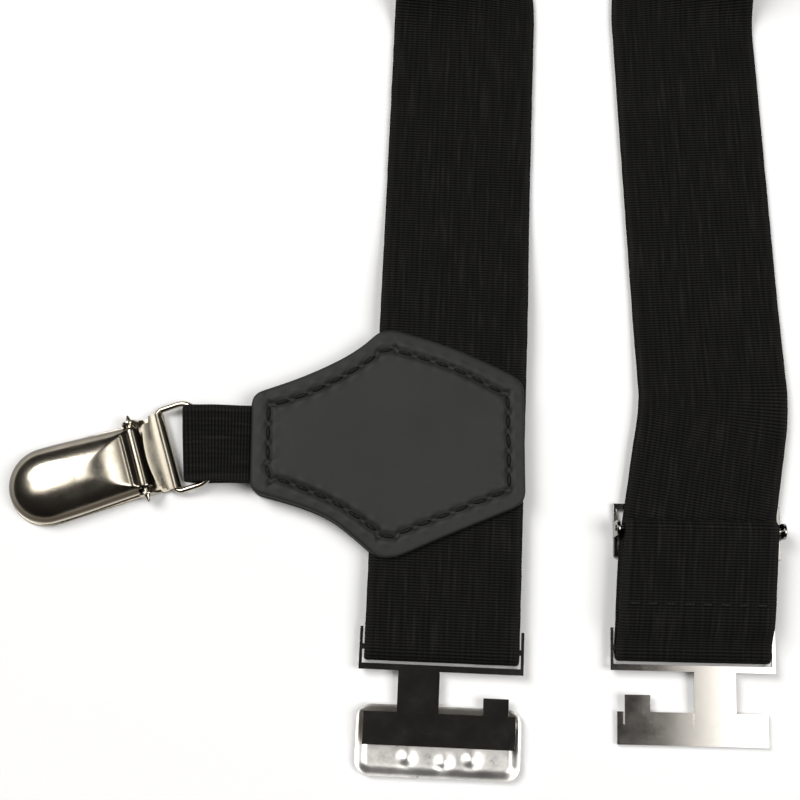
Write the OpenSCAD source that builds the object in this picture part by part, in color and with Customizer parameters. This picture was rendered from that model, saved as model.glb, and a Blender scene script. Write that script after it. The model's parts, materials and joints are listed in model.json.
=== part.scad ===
// Sock garter: an elastic calf band with a two-part hook clasp, a slide adjuster
// and a leather patch that carries a spring clip on a wire ring.
// Millimetres. The band's skin side faces +Z and the part lies on the plane z = 0.
// The origin is the middle of the leather patch, on its underside.
// +Y runs up the band, away from the two clasp halves.

/* [Elastic webbing] */
// Width of the calf band
band_w = 25; // [20:0.5:32]
// Thickness of one layer of the elastic
band_t = 1.1; // [0.9:0.05:1.4]
// Width of the short clip strap
strap_w = 12.8; // [10:0.1:14]

/* [Band layout] */
// Distance of the left leg's centre line from the patch centre
left_x = 10.2; // [8:0.1:12]
// Lean of the left leg from +Y, in degrees
left_lean = 2.5; // [0:0.5:5]
// X position of the slide adjuster's centre
slider_x = 51.1; // [46:0.1:58]
// Y position of the slide adjuster's centre
slider_y = -14.4; // [-20:0.1:-8]
// Lean of the band where the adjuster slides, in degrees
slide_lean = 10.2; // [6:0.2:12]
// Lean of the doubled loop's sides below the adjuster, in degrees
loop_lean = 5.4; // [3:0.1:6]
// Turn of the adjuster and the right clasp from the X axis, in degrees
loop_turn = 1.3; // [0:0.1:3]
// Lean of the right leg above the adjuster, in degrees, to the other side
right_lean = 1.85; // [0:0.05:4]
// Length of the straight stretch that the adjuster slides on
slide_straight = 17.5; // [17:0.5:24]
// Height along Y at which the band has turned on edge
arch_y = 108; // [95:1:140]
// Y position at which the legs start to turn on edge
twist_y = 74; // [60:1:80]
// Travel of the clasp half towards the leg; the adjuster travels twice as far
adjust_range = 6; // [2:0.5:7]

/* [Leather patch] */
// Thickness of each leather piece
leather_t = 1.2; // [0.8:0.1:2]
// Pitch of the stitches
stitch_pitch = 3.3; // [2.5:0.1:5]
// Length of one stitch
stitch_len = 2.2; // [1.2:0.1:2.4]
// Thickness of the sewing thread
thread_d = 0.5; // [0.3:0.05:0.8]

/* [Clasp halves] */
// Thickness of the clasp stampings
clasp_t = 0.8; // [0.6:0.05:1]
// Height of the bar that the webbing turns round
clasp_bar = 0.9; // [0.7:0.05:1.2]
// Width of the neck of the hook
neck_w = 6.7; // [5:0.1:8]
// Distance of the neck's centre from the middle
neck_x = 3.5; // [3.4:0.1:5]
// Width of the T-plate
plate_w = 24.3; // [22:0.1:26]
// Height of the T-plate
plate_h = 5.2; // [5:0.1:8]
// Distance from the bar's centre to the T-plate
plate_y = 10.1; // [9:0.1:14]
// Width of the locking tab
tab_w = 4.1; // [3:0.1:5]
// Distance of the tab's centre from the middle
tab_x = 9; // [8.8:0.1:9.8]
// Height of the decorative cover plate
cover_h = 11.2; // [10:0.1:15]
// Width of the decorative cover plate
cover_w = 26.4; // [25:0.1:30]
// Wall of the decorative cover plate
cover_wall = 0.6; // [0.4:0.05:0.8]

/* [Slide adjuster] */
// Height of the adjuster frame along the band
slider_h = 8.8; // [8.4:0.1:12]
// Thickness of the adjuster's outer bars
slider_t = 0.8; // [0.6:0.05:1]
// Diameter of the adjuster's centre bar
slider_bar_d = 1.0; // [0.8:0.05:1.3]

/* [Ring and clip] */
// Wire diameter of the ring
ring_wire = 1.0; // [0.8:0.05:1.1]
// Distance between the ring's two straight bars, centre to centre
ring_span = 7; // [6.9:0.1:9]
// X position of the ring's centre
ring_x = -34; // [-36:0.1:-34]
// Turn of the ring and clip from the strap's line, in degrees
clip_turn = 16.4; // [10:0.2:18]
// Thickness of the clip's sheet metal
clip_t = 0.5; // [0.4:0.05:0.7]
// Distance from the ring bar to the clip's hinge pin
clip_tail = 4.45; // [4.4:0.05:6]
// Distance from the hinge pin to the centre of the round tip
clip_reach = 15.7; // [12:0.1:20]
// Radius of the cover's round tip
tip_r = 6.4; // [6.2:0.1:8]
// Width of the cover at the hinge
hinge_w = 11.4; // [10.5:0.1:12]
// Diameter of the clip's hinge pin
pin_d = 1.2; // [0.8:0.05:1.4]
// Height of the closed cover above its rest plane
cover_top = 5.4; // [5:0.1:7]

/* [Clearances] */
// Radial clearance of pins and wires in their bearings
run_fit = 0.05; // [0.02:0.01:0.08]
// Gap between the webbing and the sides of its metal frames
web_gap = 0.3; // [0.2:0.05:0.5]
// Gap between layers that slide on each other
slide_gap = 0.1; // [0.05:0.05:0.2]

/* [Hidden] */
$fn = 48;
// How far solids that are joined reach into each other
e = 0.01;
web_color = "#151516";
leather_color = "#34342f";
steel_color = "#c9c5bb";

// Webbing that turns round a clasp bar: the bar's corners run inside this radius
fold_in = sqrt(pow(clasp_bar / 2, 2) + pow(clasp_t / 2, 2)) + run_fit;
fold_out = fold_in + band_t;
fold_z = fold_out;

// Clasp stamping: its frame has a bar for the webbing, two sides and a front bar
frame_in_w = band_w + 2 * web_gap;
frame_side = 0.5;
frame_front = 1;
frame_back = 1.6;
frame_h = 4.5 - clasp_bar;
lap = 2;
tab_rise = 2.7;
post_r = 0.9;
cover_lip = 1.1;
cover_corner = 2.5;

// Layers at the patch, from the rest plane up
tail_z = leather_t;
web_z = leather_t + band_t;
front_z = web_z + band_t;

// Left leg: distances run along it from the patch's middle
left_fold_v = -33.6;
left_join_v = -21;
tail_end_v = 9;

// Slide adjuster
wrap_in = slider_bar_d / 2 + run_fit;
wrap_out = wrap_in + band_t;
slide_web_z = slider_t + slide_gap / 2;
slider_bar_z = slide_web_z + band_t + slide_gap + wrap_out;
slider_in_w = band_w + 1.4;
slider_side = 0.6;
slider_rail = 1;
lug_r = 1.3;
pin_head = 0.2;
loop_len = 19.15;
loop_skew = tan(loop_lean - loop_turn);
web_tongue = slider_h / 2 + 1.5;
// The layer behind stops short, so that sliding never brings it onto the band's skewed end
ply_gap = adjust_range + band_w / 2 * tan(slide_lean - loop_turn) + 0.3;
hem_bend_v = -6;
hem_end_v = -13;
hem_seam_v = -12.3;
slope_v = -13.5;

// Path of the band: heading is measured clockwise from +Y
left_heading = left_lean;
right_heading = 180 - right_lean;
slide_heading = 180 + slide_lean;
bend_r = 35;
slide_dir = [sin(slide_lean), cos(slide_lean)];
slide_top = [slider_x, slider_y] + slide_straight * slide_dir;
bend_top = slide_top - bend_r * [
    cos(right_heading) - cos(slide_heading), sin(slide_heading) - sin(right_heading)
];
arch_start = [left_x + arch_y * tan(left_lean), arch_y];
right_slope = tan(right_lean);
arch_run = cos(left_heading) - cos(right_heading);
arch_drop = sin(right_heading) - sin(left_heading);
arch_r = (bend_top[0] - right_slope * (arch_y - bend_top[1]) - arch_start[0])
    / (arch_run + right_slope * arch_drop);
arch_end = arch_start + arch_r * [arch_run, arch_drop];
slide_end = [slider_x, slider_y] - web_tongue * slide_dir;

// Strap loop and ring
strap_z = web_z;
loop_gap = 0.7;
loop_out = loop_gap + band_t;
flap_out = ring_wire / 2 + run_fit + clip_t;
ring_bar_z = flap_out;
ring_tilt = asin((strap_z - ring_bar_z) / ring_span);
ring_reach = ring_span * cos(ring_tilt);
ring_half = strap_w / 2 + ring_wire / 2 + 0.2;
ring_corner = 0.9;
ring_y = -0.17;
loop_reach = 1.6;
loop_back = 5;
loop_mouth = 0.9;
strap_start = ring_x + 6.1;

// Clip: its own x axis runs from the ring's strap bar towards the tip
pin_x = ring_reach + clip_tail;
pin_z = 2.3;
knuckle_r = pin_d / 2 + run_fit + 0.65;
knuckle_gap = 0.2;
ear_in = hinge_w / 2 + 0.15;
ear_r = 1.3;
ear_back = 3.4;
flap_w = 12.2;
jaw_margin = 0.2;
jaw_start = 1.6;
tongue_w = 5.6;
tongue_margin = 0.9;
jaw_z = 1.6;
pad_t = 0.5;
pad_margin = 1;
pad_len = 4.5;
dome_cross_r = 7.5;
dome_long_r = 34;
crest_to_tip = 7.7;
dome_crest = clip_reach - crest_to_tip;

// ---------- shared shapes ----------

// A step along a straight stretch of the path: points are [x, y, heading]
function straight(a, b, heading, n) =
    [for (i = [0 : n]) concat(a + (b - a) * i / n, [heading])];

// A turn from one heading to another, without its two end points
function turned(a, r, h0, h1, n) =
    [for (i = [1 : n - 1]) let (h = h0 + (h1 - h0) * i / n)
        concat(a + r * [cos(h0) - cos(h), sin(h) - sin(h0)], [h])];

function ease(a, b, x) =
    let (k = min(1, max(0, (x - a) / (b - a)))) k * k * (3 - 2 * k);

// Cross section of the webbing, with its corners taken off
function web_section(w, t, c) = [
    [-w / 2 + c, -t / 2], [w / 2 - c, -t / 2], [w / 2, -t / 2 + c], [w / 2, t / 2 - c],
    [w / 2 - c, t / 2], [-w / 2 + c, t / 2], [-w / 2, t / 2 - c], [-w / 2, -t / 2 + c]
];

// A solid swept through rings of equal size
module swept(rings) {
    m = len(rings[0]);
    n = len(rings);
    points = [for (ring = rings) for (p = ring) p];
    sides = [for (i = [0 : n - 2]) for (j = [0 : m - 1])
        let (k = (j + 1) % m) each [
            [i * m + j, (i + 1) * m + j, (i + 1) * m + k],
            [i * m + j, (i + 1) * m + k, i * m + k]
        ]];
    first = [[for (j = [0 : m - 1]) j]];
    last = [[for (j = [0 : m - 1]) (n - 1) * m + m - 1 - j]];
    polyhedron(points, concat(sides, first, last));
}

// A profile drawn in (along, up), drawn out across the webbing's width
module across(w) {
    translate([-w / 2, 0, 0]) rotate([90, 0, 90]) linear_extrude(w) children();
}

// Half circle of points from its top, round the -along side, to its bottom
function u_turn(x, z, r) = [for (i = [0 : 16]) [x - r * sin(i * 11.25), z + r * cos(i * 11.25)]];

function reversed(points) = [for (i = [len(points) - 1 : -1 : 0]) points[i]];

// The round hole that a clasp bar turns in, and the profile's own half turn just inside it
bar_turn = 0.9 * fold_in;
module bar_hole(x) {
    translate([x, fold_z]) circle(fold_in);
}

module on_left_leg() {
    translate([left_x, 0, 0]) rotate(-left_lean) children();
}

module on_loop() {
    translate([slider_x, slider_y, 0]) rotate(-loop_turn) children();
}

// A profile of the loop's webbing, drawn out between its two leaning sides
module loop_web() {
    low = -loop_len - 3;
    high = 3;
    half = band_w / 2;
    on_loop() intersection() {
        across(band_w + 8) children();
        linear_extrude(20, center = true) polygon([
            [low * loop_skew - half, low], [low * loop_skew + half, low],
            [high * loop_skew + half, high], [high * loop_skew - half, high]
        ]);
    }
}

// The clip's own frame, with its origin under the ring's strap bar
module on_clip() {
    translate([ring_x, ring_y, 0]) rotate(180 + clip_turn) translate([-ring_span / 2, 0, 0])
        children();
}

module rounded_plate(w, h, r) {
    square([w - 2 * r, h], center = true);
    square([w, h - 2 * r], center = true);
    for (sx = [-1, 1], sy = [-1, 1])
        translate([sx * (w / 2 - r), sy * (h / 2 - r)]) circle(r);
}

// One stitch lying flat, as long as stitch_len
module stitch() {
    translate([-stitch_len / 2, -thread_d / 2, 0]) cube([stitch_len, thread_d, thread_d / 2]);
}

// ---------- calf band ----------

band_path = concat(
    straight(
        [left_x + left_join_v * sin(left_lean), left_join_v * cos(left_lean)],
        arch_start, left_heading, 34
    ),
    turned(arch_start, arch_r, left_heading, right_heading, 22),
    straight(arch_end, bend_top, right_heading, 24),
    turned(bend_top, bend_r, right_heading, slide_heading, 4),
    straight(slide_top, slide_end, slide_heading, 2)
);

// Roll about the band's own line: flat on the legs, on edge round the arch
function roll_at(p) = 90 * ease(twist_y, arch_y, p[1]);

// Underside of the flat band above the rest plane
function lift_at(p) = p[0] < (left_x + slider_x) / 2
    ? web_z * (1 - ease(21, 46, p[1]))
    : slide_web_z * (1 - ease(slide_top[1] + 2, slide_top[1] + 22, p[1]));

function band_ring(p) =
    let (
        roll = roll_at(p),
        side = [cos(p[2]), -sin(p[2]), 0],
        up = [0, 0, 1],
        wide = cos(roll) * side - sin(roll) * up,
        thick = sin(roll) * side + cos(roll) * up,
        z = lift_at(p) + band_w / 2 * sin(roll) + band_t / 2 * cos(roll)
    )
    [for (q = web_section(band_w, band_t, 0.25)) [p[0], p[1], z] + q[0] * wide + q[1] * thick];

module elastic_band() {
    color(web_color) swept([for (p = band_path) band_ring(p)]);
}

// The band's left end: it turns round the clasp bar and runs back under the patch
module left_end_fold() {
    top = fold_z + fold_in;
    flat = left_fold_v + 1;
    low = left_join_v + 0.5;
    color(web_color) on_left_leg() across(band_w) difference() {
        polygon(concat(
            u_turn(left_fold_v, fold_z, fold_out),
            [[flat, 0], [low, tail_z], [tail_end_v, tail_z]],
            [[tail_end_v, web_z], [low, web_z], [flat, band_t]],
            reversed(u_turn(left_fold_v, fold_z, bar_turn)),
            [[flat, top], [left_join_v, web_z], [left_join_v, front_z], [flat, top + band_t]]
        ));
        bar_hole(left_fold_v);
    }
}

// ---------- leather patch ----------

// Outline of the patch, clockwise from its lower left corner
patch_outline = [
    [-22.7, -8.4], [-22.7, 8.4], [-14.7, 11.1], [-8, 14], [-4.7, 16.2], [-1, 19.3], [1, 19.4],
    [12, 15.8], [22.6, 10.2], [22.6, -10], [12, -14.8], [0.2, -19.4], [-1.6, -19.3],
    [-6, -15.2], [-9.7, -12.5], [-14.7, -10.4]
];
// Corners of the stitch line, about 3 mm inside the edge
patch_seam = [
    [-19.7, -6], [-19.7, 6.2], [-14, 8.2], [-6.8, 11.4], [0.2, 16.2], [11.4, 12.6], [19.8, 7.9],
    [19.8, -7.9], [11.2, -11.6], [-0.4, -16.2], [-7.6, -10.9], [-14, -7.6]
];

module patch_piece() {
    linear_extrude(leather_t) offset(r = 1.5, $fn = 24) offset(delta = -1.5)
        polygon(patch_outline);
}

module patch_back() {
    color(leather_color) patch_piece();
}

module patch_front() {
    color(leather_color) translate([0, 0, front_z]) patch_piece();
}

module patch_stitches() {
    n = len(patch_seam);
    color("black") translate([0, 0, front_z + leather_t])
        for (i = [0 : n - 1]) {
            a = patch_seam[i];
            d = patch_seam[(i + 1) % n] - a;
            count = max(1, round(norm(d) / stitch_pitch));
            for (k = [0 : count - 1])
                translate(a + d * (k + 0.5) / count) rotate(atan2(d[1], d[0])) stitch();
        }
}

// ---------- clip strap ----------

// Two layers that part round the ring's bar. The loop itself is turned with the ring.
module clip_strap() {
    strap_end = left_x - band_w / 2 - 0.5 - strap_w / 2 * tan(left_lean);
    edge = patch_outline[0][0];
    mouth = strap_start + loop_mouth;
    color(web_color) {
        across_strap(strap_w) difference() {
            polygon([
                [strap_start, -loop_out], [mouth, -loop_out], [edge, -band_t],
                [strap_end, -band_t], [strap_end, band_t], [edge, band_t],
                [mouth, loop_out], [strap_start, loop_out]
            ]);
            polygon([
                [strap_start - 1, -loop_gap], [mouth, -loop_gap], [edge - 0.5, 0],
                [mouth, loop_gap], [strap_start - 1, loop_gap]
            ]);
        }
        on_clip() mirror([1, 0, 0]) across_strap(strap_w - 0.6) polygon(concat(
            u_turn(-loop_reach, 0, loop_out),
            [[loop_back, -loop_out], [loop_back, -loop_gap]],
            reversed(u_turn(-loop_reach, 0, loop_gap)),
            [[loop_back, loop_gap], [loop_back, loop_out]]
        ));
    }
}

// A profile drawn in (x, z) about the strap's middle layer, drawn out across its width
module across_strap(w) {
    translate([0, w / 2, strap_z]) rotate([90, 0, 0]) linear_extrude(w) children();
}

// ---------- clasp halves ----------

// A hook half in its own frame: origin in the webbing bar, frame, neck and tab in the
// plane z = 0. The T-plate lies one layer above, lapped on the ends of neck and tab.
module hook_half() {
    side_x = frame_in_w / 2;
    lap_y = plate_y + lap;
    translate([-side_x - e, -clasp_bar / 2, -clasp_t / 2])
        cube([2 * side_x + 2 * e, clasp_bar, clasp_t]);
    translate([-side_x - frame_side, -frame_h, -clasp_t / 2])
        cube([2 * side_x + 2 * frame_side, frame_front, clasp_t]);
    for (s = [-1, 1])
        translate([s * (side_x + frame_side / 2), frame_back - frame_h / 2, 0])
            cube([frame_side, frame_h + 2 * frame_back, clasp_t], center = true);
    translate([-neck_x - neck_w / 2, -lap_y, -clasp_t / 2])
        cube([neck_w, lap_y - frame_h + frame_front / 2, clasp_t]);
    translate([tab_x - tab_w / 2, -lap_y, -clasp_t / 2])
        cube([tab_w, lap + tab_rise, clasp_t]);
    translate([-plate_w / 2, -plate_y - plate_h, clasp_t / 2 - e])
        cube([plate_w, plate_h, clasp_t]);
}

module left_hook() {
    color(steel_color) on_left_leg() translate([0, left_fold_v, fold_z]) hook_half();
}

// Shallow dish behind the left hook, with two posts that it is fixed by
module clasp_cover_plate() {
    rim_z = fold_z - clasp_t / 2 - 0.05;
    color(steel_color) on_left_leg() translate([0, left_fold_v, 0]) {
        translate([0, cover_lip - plate_y - cover_h / 2, 0]) difference() {
            linear_extrude(rim_z) rounded_plate(cover_w, cover_h, cover_corner);
            translate([0, 0, cover_wall]) linear_extrude(rim_z)
                rounded_plate(cover_w - 2, cover_h - 2, cover_corner - 1);
        }
        for (x = [-neck_x, tab_x])
            translate([x, -plate_y - lap / 2, cover_wall - e])
                cylinder(r = post_r, h = fold_z - clasp_t / 2 - cover_wall + e);
    }
}

// The right half is the same stamping turned over; it pitches down to rest on its plate
module right_hook() {
    reach = plate_y + plate_h;
    pitch = asin((fold_z - 1.5 * clasp_t) / reach);
    color(steel_color) on_loop() translate([-loop_len * loop_skew, -loop_len, fold_z])
        rotate([pitch, 0, 0]) rotate([0, 180, 0]) hook_half();
}

// ---------- slide adjuster ----------

// Webbing round the right clasp bar, with the layer behind
module adjuster_fold() {
    back_end = -web_tongue - ply_gap;
    top = fold_z + fold_in;
    front_end = 0.8 - loop_len;
    color(web_color) loop_web() difference() {
        polygon(concat(
            u_turn(-loop_len, fold_z, fold_out),
            [[back_end, 0], [back_end, band_t], [front_end, band_t]],
            reversed(u_turn(-loop_len, fold_z, bar_turn)),
            [[front_end, top], [front_end, top + band_t]]
        ));
        bar_hole(-loop_len);
    }
}

// The end of the webbing: front layer, turn round the adjuster's bar and sewn hem
module adjuster_hem() {
    top = slider_bar_z + wrap_in;
    low = slider_bar_z - wrap_in;
    end = 0.82 - loop_len;
    fold_top = fold_z + fold_in;
    color(web_color) loop_web() polygon(concat(
        [[hem_end_v, top - slide_gap - band_t], [hem_bend_v, low - band_t]],
        [for (p = reversed(u_turn(0, slider_bar_z, wrap_out))) [-p[0], p[1]]],
        [[slope_v, top + band_t], [end, fold_top + band_t], [end, fold_top], [slope_v, top]],
        [for (p = u_turn(0, slider_bar_z, wrap_in)) [-p[0], p[1]]],
        [[hem_bend_v, low], [hem_end_v, top - slide_gap]]
    ));
}

module hem_stitches() {
    top = slider_bar_z + wrap_out;
    count = floor((band_w - 2) / stitch_pitch);
    color("black") on_loop() translate([hem_seam_v * loop_skew, hem_seam_v, top])
        for (i = [0 : count - 1])
            translate([(i - (count - 1) / 2) * stitch_pitch, 0, 0]) stitch();
}

module slider_frame() {
    color(steel_color) on_loop() difference() {
        union() {
            for (s = [-1, 1]) {
                translate([0, s * (slider_h - slider_rail) / 2, slider_t / 2])
                    cube([slider_in_w + 2 * slider_side, slider_rail, slider_t], center = true);
                translate([s * (slider_in_w + slider_side) / 2, 0, slider_t / 2])
                    cube([slider_side, slider_h, slider_t], center = true);
                translate([s * (slider_in_w + slider_side) / 2, 0, slider_bar_z / 2])
                    cube([slider_side, 2 * lug_r, slider_bar_z], center = true);
                translate([s * (slider_in_w + slider_side) / 2 - slider_side / 2, 0, slider_bar_z])
                    rotate([0, 90, 0]) cylinder(r = lug_r, h = slider_side);
            }
        }
        translate([-slider_in_w, 0, slider_bar_z]) rotate([0, 90, 0])
            cylinder(d = slider_bar_d, h = 2 * slider_in_w);
    }
}

module slider_bar() {
    length = slider_in_w + 2 * (slider_side + pin_head);
    color(steel_color) on_loop() translate([-length / 2, 0, slider_bar_z]) rotate([0, 90, 0])
        cylinder(d = slider_bar_d, h = length);
}

// ---------- ring ----------

// A closed wire loop of two straight bars, two short sides and four round corners
module clip_ring() {
    half = ring_half;
    r = ring_corner;
    color(steel_color) on_clip() translate([0, 0, strap_z]) rotate([0, ring_tilt, 0])
        translate([ring_span / 2, 0, 0]) {
            for (s = [-1, 1]) {
                translate([s * ring_span / 2, r - half, 0]) rotate([-90, 0, 0])
                    cylinder(d = ring_wire, h = 2 * (half - r));
                translate([r - ring_span / 2, s * half, 0]) rotate([0, 90, 0])
                    cylinder(d = ring_wire, h = ring_span - 2 * r);
                for (u = [-1, 1])
                    translate([u * (ring_span / 2 - r), s * (half - r), 0])
                        rotate(u > 0 ? (s > 0 ? 0 : -90) : (s > 0 ? 90 : 180))
                            rotate_extrude(angle = 90) translate([r, 0]) circle(d = ring_wire);
            }
        }
}

// ---------- clip ----------

// Outline of the jaws seen from above, grown by g
module jaw_outline(g, back) {
    translate([pin_x + clip_reach, 0]) circle(tip_r + g);
    polygon([
        [back, -hinge_w / 2 - g], [back, hinge_w / 2 + g],
        [pin_x + clip_reach, tip_r + g], [pin_x + clip_reach, -tip_r - g]
    ]);
}

// Lower plate: jaw, two hinge ears and the flap that turns round the ring's bar
module clip_base() {
    wrap_r = ring_wire / 2 + run_fit;
    color(steel_color) on_clip() difference() {
        union() {
            linear_extrude(clip_t) jaw_outline(jaw_margin, pin_x + jaw_start);
            linear_extrude(clip_t) polygon([
                [pin_x + 2, ear_in + clip_t], [pin_x - ear_back, ear_in + clip_t],
                [ring_reach, flap_w / 2], [ring_reach, -flap_w / 2],
                [pin_x - ear_back, -ear_in - clip_t], [pin_x + 2, -ear_in - clip_t]
            ]);
            for (s = [-1, 1])
                translate([pin_x, s * (ear_in + clip_t / 2) + clip_t / 2, 0]) rotate([90, 0, 0])
                    linear_extrude(clip_t) {
                        translate([-ear_back, 0]) square([ear_back + ear_r, pin_z]);
                        translate([0, pin_z]) circle(ear_r);
                    }
            translate([ring_reach, flap_w / 2, ring_bar_z]) rotate([90, 0, 0])
                linear_extrude(flap_w) difference() {
                    circle(flap_out);
                    circle(wrap_r);
                    translate([0, -flap_out]) square(2 * flap_out);
                }
            translate([ring_reach - e, -flap_w / 2, ring_bar_z + wrap_r])
                cube([clip_tail - knuckle_r - 0.25, flap_w, clip_t]);
        }
        translate([pin_x, hinge_w, pin_z]) rotate([90, 0, 0])
            cylinder(d = pin_d, h = 2 * hinge_w);
    }
}

module clip_pin() {
    length = 2 * (ear_in + clip_t + 2 * pin_head);
    color(steel_color) on_clip() translate([pin_x, length / 2, pin_z]) rotate([90, 0, 0])
        cylinder(d = pin_d, h = length);
}

// Ribbed pad that lines one jaw, from height z upwards
module grip_pad(z) {
    translate([0, 0, z]) linear_extrude(pad_t) intersection() {
        translate([pin_x + clip_reach, 0]) circle(tip_r - pad_margin);
        translate([pin_x + clip_reach - pad_len, -tip_r]) square([pad_len + tip_r, 2 * tip_r]);
    }
}

module lower_grip_pad() {
    color("#2b2b2b") on_clip() grip_pad(clip_t);
}

module upper_grip_pad() {
    color("#2b2b2b") on_clip() grip_pad(jaw_z - pad_t);
}

// Upper jaw: a plate under the cover, hinged on the same pin
module clip_tongue() {
    color(steel_color) on_clip() difference() {
        union() {
            translate([0, 0, jaw_z]) linear_extrude(clip_t) {
                translate([pin_x + clip_reach, 0]) circle(tip_r - tongue_margin);
                translate([pin_x, -tongue_w / 2]) square([clip_reach, tongue_w]);
            }
            translate([pin_x, tongue_w / 2, pin_z]) rotate([90, 0, 0])
                cylinder(r = knuckle_r, h = tongue_w);
        }
        translate([pin_x, hinge_w, pin_z]) rotate([90, 0, 0])
            cylinder(d = pin_d + 2 * run_fit, h = 2 * hinge_w);
    }
}

// Space inside or outside the cover's dome, grown outwards by g
module dome_space(g) {
    back = pin_x - 0.2 - g;
    intersection() {
        linear_extrude(cover_top + g) jaw_outline(g, back);
        translate([0, 0, cover_top - dome_cross_r]) rotate([0, 90, 0])
            cylinder(r = dome_cross_r + g, h = 60);
        translate([pin_x + dome_crest, 20, cover_top - dome_long_r]) rotate([90, 0, 0])
            cylinder(r = dome_long_r + g, h = 40, $fn = 96);
    }
}

// Domed cover that locks the jaws, with a knuckle on each side of the tongue
module clip_cover() {
    rim_z = jaw_z - 0.55;
    color(steel_color) on_clip() difference() {
        union() {
            difference() {
                dome_space(0);
                dome_space(-clip_t);
                translate([0, -20, -e]) cube([60, 40, rim_z]);
            }
            for (s = [-1, 1])
                translate([pin_x, s * (hinge_w + tongue_w + knuckle_gap) / 4, pin_z])
                    rotate([90, 0, 0]) cylinder(
                        r = knuckle_r, h = (hinge_w - tongue_w) / 2 - knuckle_gap, center = true
                    );
        }
        translate([pin_x, hinge_w, pin_z]) rotate([90, 0, 0])
            cylinder(d = pin_d + 2 * run_fit, h = 2 * hinge_w);
        translate([pin_x, 0, pin_z]) rotate([90, 0, 0])
            cylinder(r = knuckle_r + 0.1, h = tongue_w + 1.5 * knuckle_gap, center = true);
    }
}

elastic_band();
left_end_fold();
patch_back();
patch_front();
patch_stitches();
clip_strap();
left_hook();
clasp_cover_plate();
adjuster_fold();
adjuster_hem();
hem_stitches();
slider_frame();
slider_bar();
right_hook();
clip_ring();
clip_base();
clip_pin();
lower_grip_pad();
clip_tongue();
upper_grip_pad();
clip_cover();
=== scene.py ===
# %% [markdown]
# # A sock garter, from black elastic, leather and nickelled steel
# The garter is an open elastic band for the calf. A leather patch sewn on its left leg holds a short
# strap, and the strap holds a spring clip on a wire ring. Both ends carry one half of a hook clasp,
# and the right end is doubled back through a slide adjuster. The engineering model gives every place
# and size, and this script makes what the eye sees: cloth, leather, thread and polished metal.

# %% Load the frame
import json
import math

import bmesh
import bpy
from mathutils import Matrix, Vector, noise


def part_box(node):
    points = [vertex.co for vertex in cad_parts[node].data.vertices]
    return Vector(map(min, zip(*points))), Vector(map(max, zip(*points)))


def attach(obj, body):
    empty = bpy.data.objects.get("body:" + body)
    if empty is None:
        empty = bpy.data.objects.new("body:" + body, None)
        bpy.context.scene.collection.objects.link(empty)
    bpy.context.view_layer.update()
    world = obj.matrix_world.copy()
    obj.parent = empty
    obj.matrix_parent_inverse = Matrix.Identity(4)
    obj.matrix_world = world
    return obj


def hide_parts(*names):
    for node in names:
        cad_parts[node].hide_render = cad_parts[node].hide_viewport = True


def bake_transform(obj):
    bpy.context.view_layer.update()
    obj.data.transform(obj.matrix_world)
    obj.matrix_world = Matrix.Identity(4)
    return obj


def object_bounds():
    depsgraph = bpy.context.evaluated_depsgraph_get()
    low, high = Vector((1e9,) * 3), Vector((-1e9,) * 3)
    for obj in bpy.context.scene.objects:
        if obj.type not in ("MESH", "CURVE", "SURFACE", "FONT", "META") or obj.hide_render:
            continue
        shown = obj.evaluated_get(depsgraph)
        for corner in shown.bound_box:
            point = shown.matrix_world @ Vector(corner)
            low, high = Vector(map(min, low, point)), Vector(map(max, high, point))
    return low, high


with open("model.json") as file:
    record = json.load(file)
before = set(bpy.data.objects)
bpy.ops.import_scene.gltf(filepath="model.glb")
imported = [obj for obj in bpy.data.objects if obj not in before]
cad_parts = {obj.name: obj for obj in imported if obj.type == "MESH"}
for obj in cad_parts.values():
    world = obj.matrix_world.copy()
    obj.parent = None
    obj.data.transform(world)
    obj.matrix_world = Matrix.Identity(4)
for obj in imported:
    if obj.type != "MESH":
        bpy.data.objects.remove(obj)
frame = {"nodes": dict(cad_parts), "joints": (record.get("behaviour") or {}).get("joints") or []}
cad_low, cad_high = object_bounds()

MM = 0.001
joints = {j["name"]: j for j in frame["joints"]}

# %% [markdown]
# ## Camera
# The garter lies flat and is seen from almost straight above. The camera leans back a little from
# the clasp end, so that end is nearer and looks slightly larger. A lens of about 59 mm at 22 cm
# gives that gentle change of scale.

# %% Camera
VIEW_POINT = Vector((2.0, 7.7, 1.5)) * MM
VIEW_DISTANCE = 220 * MM
VIEW_LEAN = math.radians(11.7)
VIEW_WIDTH = 134.7 * MM

camera_data = bpy.data.cameras.new("camera")
camera_data.sensor_width = 36
camera_data.lens = 36 * VIEW_DISTANCE / VIEW_WIDTH
camera = bpy.data.objects.new("camera", camera_data)
bpy.context.scene.collection.objects.link(camera)
camera.location = VIEW_POINT + VIEW_DISTANCE * Vector((0, -math.sin(VIEW_LEAN), math.cos(VIEW_LEAN)))
camera.rotation_euler = (VIEW_LEAN, 0, 0)
bpy.context.scene.camera = camera
print("lens", round(camera_data.lens, 1), "mm")

# %% [markdown]
# ## Building helpers
# Every piece ends as one object at the origin, with its place in its mesh. A piece is modelled in
# millimetres and shrunk to metres at the very end, which keeps the numbers readable.


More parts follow.
